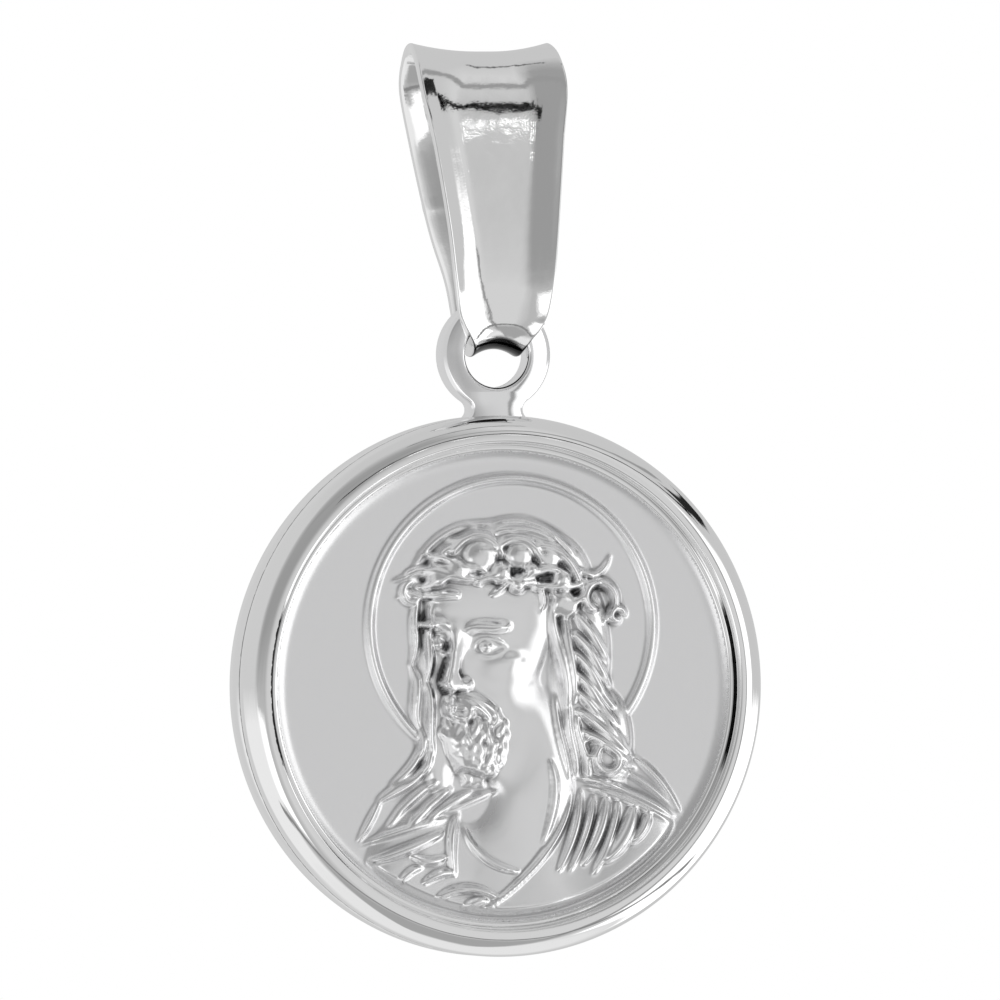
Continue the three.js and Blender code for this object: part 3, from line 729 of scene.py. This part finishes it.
def rim_profile():
    """The rim's closed section with the plate of the back, as radius and level."""
    top = rim_half_thickness
    outer = disc_radius
    foot = ledge_foot
    cut = foot * foot_share
    points = [(field_radius - shelf_width, shelf_level), (field_radius, shelf_level)]
    points += [(field_radius, ledge_level - ledge_lip), (field_radius + ledge_lip, ledge_level)]
    points += [(inner_radius - foot, ledge_level), (inner_radius - cut, ledge_level - foot)]
    points += [(inner_radius, ledge_level - cut)]
    inner_middle = inner_radius + rim_inner_round
    outer_middle = outer - rim_outer_round
    points += arc(inner_middle, top - rim_inner_round, rim_inner_round, 180, 90, rim_inner_steps)
    points += arc(outer_middle, top - rim_outer_round, rim_outer_round, 90, 0, rim_front_steps)
    points += [(outer, seam_level + seam_size), (outer - seam_size, seam_level)]
    points += [(outer, seam_level - seam_size)]
    points += arc(outer_middle, rim_outer_round - top, rim_outer_round, 0, -90, rim_back_steps)
    points += arc(inner_middle, rim_inner_round - top, rim_inner_round, -90, -180, rim_inner_steps)
    points += arc(inner_radius - back_fillet, back_fillet - back_level, back_fillet, 0, -90, back_steps)
    points += [(radius, -back_level) for radius in back_rings]
    return points


def rim_piece():
    """The rolled rim with the plain back, turned round the medal's middle."""
    profile = rim_profile()
    sides = rim_sides
    angles = np.arange(sides) / sides * 2 * math.pi
    rings = []
    for radius, level in profile:
        ring = [radius * np.cos(angles), radius * np.sin(angles), np.full(sides, level)]
        rings.append(np.stack(ring, axis=1))
    points = np.concatenate(rings + [[[0, 0, -back_level], [0, 0, shelf_level]]])
    back_centre = len(profile) * sides
    shelf_centre = back_centre + 1
    faces = []
    for ring in range(len(profile) - 1):
        for side in range(sides):
            after = (side + 1) % sides
            here, there = ring * sides, (ring + 1) * sides
            faces.append([here + side, there + side, there + after, here + after])
    last = (len(profile) - 1) * sides
    for side in range(sides):
        after = (side + 1) % sides
        faces.append([last + side, back_centre, last + after])
        faces.append([shelf_centre, side, after])
    return mesh_piece("rolled_rim", points, faces, "medal")


def circle(across, up, radius, turns):
    return [(across + radius * math.cos(turn), up + radius * math.sin(turn)) for turn in turns]


def eye_loops():
    """The eye's outline, which runs into the rim with a small fillet, and its hole."""
    seat = disc_radius - eye_fillet_sink + eye_fillet
    fillet_up = (seat**2 - (eye_radius + eye_fillet) ** 2 + eye_rise**2) / (2 * eye_rise)
    fillet_across = math.sqrt(seat**2 - fillet_up**2)
    to_eye = math.atan2(eye_rise - fillet_up, -fillet_across)
    to_disc = math.atan2(-fillet_up, -fillet_across) + 2 * math.pi
    turns = np.linspace(to_disc, to_eye, eye_fillet_steps)
    side = circle(fillet_across, fillet_up, eye_fillet, turns)
    start = to_eye - math.pi
    ring = circle(0, eye_rise, eye_radius, np.linspace(start, math.pi - start, eye_steps))
    right = [(side[0][0], disc_radius - eye_sink)] + side
    left = [(-x, y) for x, y in reversed(right)]
    turns = np.linspace(2 * math.pi, 0, eye_hole_steps, endpoint=False)
    return right + ring[1:-1] + left, circle(0, eye_rise, eye_hole_radius - hole_lip, turns)


def eye_piece():
    """The eye: a flat tab with a round hole and softened edges, running into the rim."""
    curve = bpy.data.curves.new("eye_tab", "CURVE")
    curve.dimensions = "2D"
    curve.fill_mode = "BOTH"
    for loop in eye_loops():
        spline = curve.splines.new("POLY")
        spline.points.add(len(loop) - 1)
        for point, (x, y) in zip(spline.points, loop):
            point.co = (x * MM, y * MM, 0, 1)
        spline.use_cyclic_u = True
    curve.extrude = (eye_thickness / 2 - eye_bevel) * MM
    curve.bevel_depth = eye_bevel * MM
    curve.bevel_resolution = eye_bevel_steps
    curve.offset = -eye_bevel * MM
    drawn = add_object("eye_curve", curve)
    bpy.context.view_layer.update()
    drawn_now = drawn.evaluated_get(bpy.context.evaluated_depsgraph_get())
    mesh = bpy.data.meshes.new_from_object(drawn_now)
    bpy.data.objects.remove(drawn)
    mesh.transform(Matrix.Translation(place(0, 0, 0)) @ Matrix.Rotation(math.pi / 2, 4, "X"))
    mesh.polygons.foreach_set("use_smooth", [True] * len(mesh.polygons))
    piece = add_object("eye_tab", mesh)
    weld = piece.modifiers.new("weld", "WELD")
    weld.merge_threshold = weld_gap
    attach(piece, "medal")
    return piece


# Bail: up as a share of its rise, depth of its depth, left and right of its width, flare, flat share
BAIL_STATIONS = [
    (0.13, -0.48, 0.33, 0.325, 0.85, 0.3),
    (0.34, -0.43, 0.365, 0.36, 1, 0.4),
    (0.67, -0.27, 0.435, 0.42, 1, 0.5),
    (0.86, -0.13, 0.49, 0.465, 0.9, 0.45),
    (0.965, 0.06, 0.5, 0.45, 0.8, 0.15),
    (1, 0.27, 0.5, 0.42, 0.75, 0.1),
    (0.965, 0.48, 0.5, 0.45, 0.8, 0.15),
    (0.86, 0.66, 0.49, 0.46, 0.9, 0.45),
    (0.67, 0.72, 0.42, 0.42, 1, 0.5),
    (0.34, 0.56, 0.32, 0.32, 1, 0.4),
    (0.13, 0.47, 0.23, 0.23, 0.85, 0.25),
]
# The fold round the eye's bar: turn from straight down, and width as a share of the fold's
FOLD_STATIONS = [
    (80, 1.2),
    (50, 1.04),
    (20, 1),
    (-10, 1),
    (-32, 1.06),
    (-52, 1.25),
    (-70, 1.6),
    (-90, 1.84),
]


def cyclic(values, position):
    """A smooth value between the keys of a closed loop."""
    values = np.asarray(values, float)
    count = len(values)
    base = np.floor(position).astype(int)
    share = position - base
    before, here = values[(base - 1) % count], values[base % count]
    after, later = values[(base + 1) % count], values[(base + 2) % count]
    slope_here = (after - before) / 2
    slope_after = (later - here) / 2
    square = share * share
    cube = square * share
    return (
        (2 * cube - 3 * square + 1) * here
        + (cube - 2 * square + share) * slope_here
        + (3 * square - 2 * cube) * after
        + (cube - square) * slope_after
    )


def bail_piece():
    """The folded strip: a closed loop whose section has a flat panel and flared sides."""
    keys = []
    for up, depth, left, right, flare, panel in BAIL_STATIONS:
        middle = (depth * bail_depth, fold_rise + up * bail_rise)
        keys.append((*middle, left * bail_width, right * bail_width, flare * bail_flare, panel))
    for turn, width in FOLD_STATIONS:
        angle = math.radians(turn)
        half = width * fold_width / 2
        middle = (math.sin(angle) * fold_radius, fold_rise - math.cos(angle) * fold_radius)
        keys.append((*middle, half, half, fold_flare, 0))
    keys = np.array(keys)
    position = np.arange(bail_steps) / bail_steps * len(keys)
    depth, rise, left, right, flare, panel = (cyclic(keys[:, column], position) for column in range(6))
    panel = np.maximum(panel, 0)
    ahead = position + bail_slope_step
    along_depth = cyclic(keys[:, 0], ahead) - depth
    along_rise = cyclic(keys[:, 1], ahead) - rise
    length = np.hypot(along_depth, along_rise)
    out_depth, out_rise = -along_rise / length, along_depth / length
    half = bail_stock / 2
    edge = [(1.0, gap) for gap in np.linspace(0, bail_edge_round, bail_edge_steps + 1)[:-1]]
    across_line = [(-share, gap) for share, gap in edge]
    across_line += [(share, bail_edge_round) for share in np.linspace(-1, 1, bail_face_steps)]
    across_line += edge[::-1]
    columns = [(share, gap, half) for share, gap in across_line]
    columns += [(share, gap, -half) for share, gap in across_line[::-1]]
    bead = np.exp(-(((rise - bail_solder_rise) / bail_solder_width) ** 2) / 2)
    solder = bead * (depth > 0) * bail_solder_height
    rings = []
    for share, gap, side in columns:
        reach = np.where(share < 0, left, right)
        across = share * (reach - gap)
        bend_share = np.maximum((abs(across) / reach - panel) / (1 - panel), 0)
        inset = bail_edge_round - gap
        soften = bail_edge_round - math.sqrt(bail_edge_round**2 - inset**2)
        level = bend_share**2 * flare + math.copysign(half - soften, side)
        level = level + math.copysign(1, side) * solder
        rings.append(np.stack([across, rise + out_rise * level, -(depth + out_depth * level)], axis=1))
    around = len(columns)
    points = np.stack(rings, axis=1).reshape(-1, 3)
    faces = []
    for step in range(bail_steps):
        here = step * around
        there = (step + 1) % bail_steps * around
        for column in range(around):
            after = (column + 1) % around
            faces.append([here + column, here + after, there + after, there + column])
    return mesh_piece("fluted_bail", points, faces, "bail")


field = field_piece()
rim = rim_piece()
eye = eye_piece()
bail = bail_piece()
for piece in (field, rim, eye):
    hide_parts("medal")
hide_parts("bail")


# Materials


class Steps:
    """Short calls that add nodes to a tree and join them."""

    def __init__(self, tree):
        self.nodes = tree.nodes
        self.links = tree.links

    def feed(self, socket, value):
        """Sets a socket to a number or a colour, or joins another node's output to it."""
        if isinstance(value, bpy.types.NodeSocket):
            self.links.new(value, socket)
        else:
            socket.default_value = value

    def add(self, kind, inputs):
        node = self.nodes.new(kind)
        for name, value in inputs.items():
            self.feed(node.inputs[name], value)
        return node

    def do(self, operation, *values, clamp=False):
        node = self.nodes.new("ShaderNodeMath")
        node.operation = operation
        node.use_clamp = clamp
        for socket, value in zip(node.inputs, values):
            self.feed(socket, value)
        return node.outputs[0]

    def blend(self, share, first, second):
        """The second value where share is one, the first where it is nothing."""
        if isinstance(first, float) and isinstance(second, float):
            return self.do("MULTIPLY_ADD", share, second - first, first)
        change = self.do("SUBTRACT", second, first)
        return self.do("MULTIPLY_ADD", change, share, first)

    def inside(self, value, middle, half, soft):
        """One within half of the middle, fading to nothing over soft."""
        gap = self.do("ABSOLUTE", self.do("SUBTRACT", value, middle))
        return self.do("DIVIDE", self.do("SUBTRACT", half + soft, gap), soft, clamp=True)

    def noise(self, spot, scale, detail=2):
        inputs = {"Vector": spot, "Scale": scale, "Detail": detail}
        return self.add("ShaderNodeTexNoise", inputs).outputs["Fac"]

    def ragged(self, spot, scale, size, detail=2):
        """A noise that goes to both sides of nothing."""
        return self.do("MULTIPLY", self.do("SUBTRACT", self.noise(spot, scale, detail), 0.5), size)

    def split(self, vector):
        return self.add("ShaderNodeSeparateXYZ", {"Vector": vector}).outputs


class Silver(Steps):
    """A bare silver surface, with a fine grain and slow waves left by the polishing."""

    def __init__(self, name, color, rough, rough_spread, grain, waves):
        self.material = bpy.data.materials.new(name)
        self.material.use_nodes = True
        super().__init__(self.material.node_tree)
        self.shader = self.nodes["Principled BSDF"].inputs
        self.feed(self.shader["Base Color"], (*color, 1))
        self.feed(self.shader["Metallic"], 1)
        where = self.nodes.new("ShaderNodeTexCoord")
        self.spot = where.outputs["Object"]
        self.facing = where.outputs["Normal"]
        self.normal = None
        for scale, depth in (waves, grain):
            texture = self.noise(self.spot, scale)
            self.bump(texture, depth)
        spread = {"Value": texture, "To Min": rough - rough_spread, "To Max": rough + rough_spread}
        self.rough = self.add("ShaderNodeMapRange", spread).outputs["Result"]
        self.feed(self.shader["Roughness"], self.rough)

    def bump(self, height, depth):
        """Adds a bump to those that the surface has."""
        bump = self.add("ShaderNodeBump", {"Strength": 1, "Distance": depth, "Height": height})
        if self.normal:
            self.feed(bump.inputs["Normal"], self.normal)
        self.normal = bump.outputs["Normal"]
        self.feed(self.shader["Normal"], self.normal)


# Painted dark reflections on the rim, painted shade under the bail's fold, and a darker seam: the shade
# of bare and of darkened silver, and sizes in millimetres
bare_silver_tone = 0.9
dark_tone_for_painted_shade_and_seam = 0.02
edge_grain = 5000
edge_ragged = 0.1
edge_middle = inner_radius + 0.02
edge_half = 0.065
edge_soft = 0.012
edge_depth = 0.08
edge_depth_soft = 0.01
edge_from = 0.72
edge_gain = 8
seam_soft = 0.02
seam_depth = 0.3
seam_strength = 0.7
fold_grain = 3000
fold_ragged = 0.16
fold_height = 0.8
fold_soft = 0.03
fold_under = 0.6
fold_gain = -9

# The field: its shine falls from nothing raised to what is well raised, and its hollows are darkened
# with painted shade
raised_low = 0.03
raised_high = 0.2
raised_shine = 0.68
field_shade = (0.87, 0.87, 0.875, 1)
painted_hollow_shade = (0.48, 0.48, 0.485, 1)
painted_deepest_shade = (0.1, 0.1, 0.102, 1)
painted_shade_from = 0.25
painted_shade_middle = 0.8

# Colour, roughness and its spread, then grain and waves as scale and depth in metres
bright_color = (0.9, 0.9, 0.905)
FINISHES = {
    "rim_silver": (bright_color, 0.045, 0.015, (9000, 2e-7), (700, 5e-6)),
    "bail_silver": (bright_color, 0.06, 0.02, (15000, 8e-7), (900, 1.4e-5)),
    "eye_silver": (bright_color, 0.08, 0.02, (9000, 2e-7), (400, 4e-5)),
    "field_silver": ((0.86, 0.86, 0.865), 0.3, 0.03, (26000, 1.2e-6), (1500, 2e-6)),
}
eye_slope = 0.34


def finish(name):
    return Silver(name, *FINISHES[name])


def field_silver():
    """Matte on the flat field, brighter on what stands up from it, and with painted shade in its
    hollows.
    """
    silver = finish("field_silver")
    level = (centre_depth - field_level) * MM
    raised = {
        "Value": silver.split(silver.spot)[1],
        "From Min": level - raised_low * MM,
        "From Max": level - raised_high * MM,
        "To Min": 1,
        "To Max": raised_shine,
    }
    raised = silver.add("ShaderNodeMapRange", raised).outputs["Result"]
    silver.feed(silver.shader["Roughness"], silver.do("MULTIPLY", raised, silver.rough))
    # The base colour darkens with the hollow depth: painted shade in the relief's hollows
    hollow = silver.nodes.new("ShaderNodeAttribute")
    hollow.attribute_name = "hollow"
    shade = silver.add("ShaderNodeValToRGB", {"Fac": hollow.outputs["Fac"]})
    ramp = shade.color_ramp.elements
    ramp[0].position = painted_shade_from
    ramp[0].color = field_shade
    ramp[1].position = 1
    ramp[1].color = painted_deepest_shade
    ramp.new(painted_shade_middle).color = painted_hollow_shade
    silver.feed(silver.shader["Base Color"], shade.outputs["Color"])
    return silver.material


def rim_silver():
    """Painted dark reflections at the sides, along the rim's inner edge on the left and the foot of its
    wall on the right, and darker along the seam.
    """
    silver = finish("rim_silver")
    x, y, z = silver.split(silver.spot)
    up = silver.do("SUBTRACT", z, centre_rise * MM)
    x_square = silver.do("MULTIPLY", x, x)
    up_square = silver.do("MULTIPLY", up, up)
    square = silver.do("ADD", x_square, up_square)
    level = silver.do("SUBTRACT", centre_depth * MM, y)
    ragged = silver.ragged(silver.spot, edge_grain, edge_ragged * MM)
    radius = silver.do("ADD", silver.do("SQRT", square), ragged)
    # A dark band painted at the rim's inner edge on the left and right sides, as painted dark
    # reflections
    band = silver.inside(radius, edge_middle * MM, edge_half * MM, edge_soft * MM)
    high = silver.inside(level, rim_half_thickness * MM, edge_depth * MM, edge_depth_soft * MM)
    high = silver.do("MULTIPLY", high, silver.do("LESS_THAN", x, 0))
    low = silver.inside(level, ledge_level * MM, edge_depth * MM, edge_depth_soft * MM)
    low = silver.do("MULTIPLY", low, silver.do("GREATER_THAN", x, 0))
    sides = silver.do("DIVIDE", silver.do("SUBTRACT", x_square, up_square), square)
    sides = silver.do("MULTIPLY", silver.do("SUBTRACT", sides, edge_from), edge_gain, clamp=True)
    edges = silver.do("MULTIPLY", sides, silver.do("MAXIMUM", high, low))
    edges = silver.do("MULTIPLY", band, edges)
    # The seam is darker as well, all round the outer wall
    seam = silver.do("ADD", level, ragged)
    seam = silver.inside(seam, seam_level * MM, seam_size * MM, seam_soft * MM)
    wall = silver.do("GREATER_THAN", radius, (disc_radius - seam_depth) * MM)
    seam = silver.do("MULTIPLY", seam, silver.do("MULTIPLY", wall, seam_strength))
    # Painted dark reflections and the darker seam go into the base colour
    shade = silver.blend(silver.do("MAXIMUM", edges, seam), bare_silver_tone, dark_tone_for_painted_shade_and_seam)
    silver.feed(silver.shader["Base Color"], shade)
    return silver.material


def bail_silver(lowest):
    """Painted shade under the fold, on the lowest part of the bail where it faces down."""
    silver = finish("bail_silver")
    rise = silver.split(silver.spot)[2]
    leaning = silver.split(silver.facing)[2]
    edge = silver.noise(silver.spot, fold_grain)
    height = silver.do("MULTIPLY_ADD", edge, fold_ragged * MM, rise)
    below = silver.do("SUBTRACT", lowest + fold_height * MM, height)
    share = silver.do("DIVIDE", below, fold_soft * MM, clamp=True)
    under = silver.do("MULTIPLY", silver.do("ADD", leaning, fold_under), fold_gain, clamp=True)
    # Painted shade on the downward-facing underside of the fold, in the base colour
    shade = silver.blend(silver.do("MULTIPLY", share, under), bare_silver_tone, dark_tone_for_painted_shade_and_seam)
    silver.feed(silver.shader["Base Color"], shade)
    return silver.material


def eye_silver():
    """A surface that leans outwards to both sides, as a hand-filed one does."""
    silver = finish("eye_silver")
    across = silver.split(silver.spot)[0]
    square = silver.do("MULTIPLY", across, across)
    silver.bump(silver.do("MULTIPLY", square, -eye_slope / (2 * eye_radius * MM)), 1)
    return silver.material


rim.data.materials.append(rim_silver())
eye.data.materials.append(eye_silver())
bail.data.materials.append(bail_silver(min(vertex.co.z for vertex in bail.data.vertices)))
field.data.materials.append(field_silver())


# Studio

# What the silver reflects, laid over one another: turn from the front to the viewer's right and
# height over the horizon in degrees, half width, half height, softness and brightness
REFLECTED = [
    ("back", 180, 0, 90, 90, 30, 0.68),
    ("right side", 110, 10, 60, 70, 25, 0.62),
    ("left side", -100, 10, 50, 70, 20, 0.66),
    ("front left", -24, 0, 22, 60, 14, 0.52),
    ("front", 16, 0, 14, 30, 12, 0.7),
    ("overhead", 0, 90, 180, 24, 20, 0.62),
    ("upper left", -18, 34, 20, 14, 24, 0.36),
    ("dark corner", -24, 15, 18, 4, 13, 0.35),
    ("table", 0, -90, 180, 34, 20, 0.86),
    ("floor", 2, -56, 30, 16, 8, 0.4),
    ("right window", 82, -26, 34, 20, 4, 1.5),
    ("right light", 47, -8, 11, 22, 4, 1.4),
    ("window frame", 30, -16, 1.2, 26, 1, 0.32),
    ("lower left window", -34, -16, 15, 9, 3, 1.3),
    ("low left window", -88, -30, 40, 20, 10, 0.9),
    ("first lamp", 4, 19.8, 0.9, 0.16, 0.25, 2.4),
    ("second lamp", 9, 19.7, 1.2, 0.2, 0.25, 2.4),
    ("third lamp", 14, 19.6, 1.2, 0.18, 0.25, 2.4),
    ("fourth lamp", 18, 19.5, 0.9, 0.16, 0.25, 2.4),
    ("fifth lamp", 22, 19.4, 0.9, 0.12, 0.25, 2.4),
    ("top shelf", 18, 62, 30, 0.7, 0.5, 0.12),
    ("upper shelf", 20, 39, 60, 1.6, 1.5, 0.34),
    ("shelf edge", 26, 25, 34, 1.2, 0.3, 0.0),
    ("shelf end", 84, 30, 24, 3, 1, 0.02),
    ("table edge", 10, -32, 70, 1.2, 2, 0.25),
]

# The studio's own brightness, how ragged its edges are, what the camera sees, and the floor
studio_bright = 0.72
studio_ragged = 5
studio_grain = 9
studio_detail = 3
seen_bright = 1.0
floor_half = 0.35
floor_drop = 3.0


def build_world():
    """Bright and dark areas for the silver to reflect, and plain white for the camera."""
    world = bpy.data.worlds.new("studio")
    bpy.context.scene.world = world
    world.use_nodes = True
    steps = Steps(world.node_tree)
    where = steps.nodes.new("ShaderNodeTexCoord").outputs["Generated"]
    ragged = steps.ragged(where, studio_grain, studio_ragged, studio_detail)
    x, y, z = steps.split(where)
    turn = steps.do("DEGREES", steps.do("ARCTAN2", x, steps.do("MULTIPLY", y, -1)))
    turn = steps.do("ADD", turn, ragged)
    rise = steps.do("ADD", steps.do("DEGREES", steps.do("ARCSINE", z)), ragged)
    level = studio_bright
    for _, middle, height, half_wide, half_high, soft, bright in REFLECTED:
        away = steps.do("WRAP", steps.do("SUBTRACT", turn, middle), -180, 180)
        across = steps.inside(away, 0, half_wide, soft)
        upright = steps.inside(rise, height, half_high, soft)
        level = steps.blend(steps.do("MULTIPLY", across, upright), level, bright)
    path = steps.nodes.new("ShaderNodeLightPath")
    level = steps.blend(path.outputs["Is Camera Ray"], level, seen_bright)
    background = steps.nodes["Background"].inputs
    steps.feed(background["Color"], level)
    steps.feed(background["Strength"], 1)


def build_floor():
    """A plain white floor that the silver doesn't mirror."""
    material = bpy.data.materials.new("floor_white")
    material.use_nodes = True
    nodes = material.node_tree.nodes
    nodes.remove(nodes["Principled BSDF"])
    glow = nodes.new("ShaderNodeEmission")
    material.node_tree.links.new(glow.outputs["Emission"], nodes["Material Output"].inputs["Surface"])
    level = cad_low.z - floor_drop * MM
    corners = [(x * floor_half, y * floor_half, level) for x, y in ((-1, -1), (1, -1), (1, 1), (-1, 1))]
    mesh = bpy.data.meshes.new("floor")
    mesh.from_pydata(corners, [], [(0, 1, 2, 3)])
    floor = add_object("floor", mesh)
    floor.data.materials.append(material)
    floor.visible_glossy = False
    floor.visible_diffuse = False


build_world()
build_floor()

# Camera: angles in degrees, its distance in millimetres, and where the disc's middle is in the image
pixels_per_mm = 33.8
camera_turn = -16.4
camera_roll = -0.53
camera_distance = 500.0
camera_near = 0.01
camera_far = 20
film_width = 36
image_size = 1000
disc_pixel = (496.0, 686.0)


def add_camera():
    """A level long lens at the photograph's angle, with the disc's middle in its place."""
    turn = math.radians(camera_turn)
    back = Vector((math.sin(turn), -math.cos(turn), 0))
    right = Vector((math.cos(turn), math.sin(turn), 0))
    above = Vector((0, 0, 1))
    roll = math.radians(camera_roll)
    image_right = right * math.cos(roll) + above * math.sin(roll)
    image_up = above * math.cos(roll) - right * math.sin(roll)
    disc = Vector(place(0, 0, 0))
    target = disc + image_right * ((image_size / 2 - disc_pixel[0]) / pixels_per_mm * MM)
    target += image_up * ((disc_pixel[1] - image_size / 2) / pixels_per_mm * MM)
    camera = bpy.data.cameras.new("camera")
    camera.sensor_width = film_width
    camera.lens = film_width * camera_distance * pixels_per_mm / image_size
    camera.clip_start = camera_near
    camera.clip_end = camera_far
    holder = add_object("camera", camera)
    turned = Matrix((image_right, image_up, back)).transposed().to_4x4()
    holder.matrix_world = Matrix.Translation(target + back * camera_distance * MM) @ turned
    bpy.context.scene.camera = holder


add_camera()
bpy.context.scene.view_settings.view_transform = "Standard"
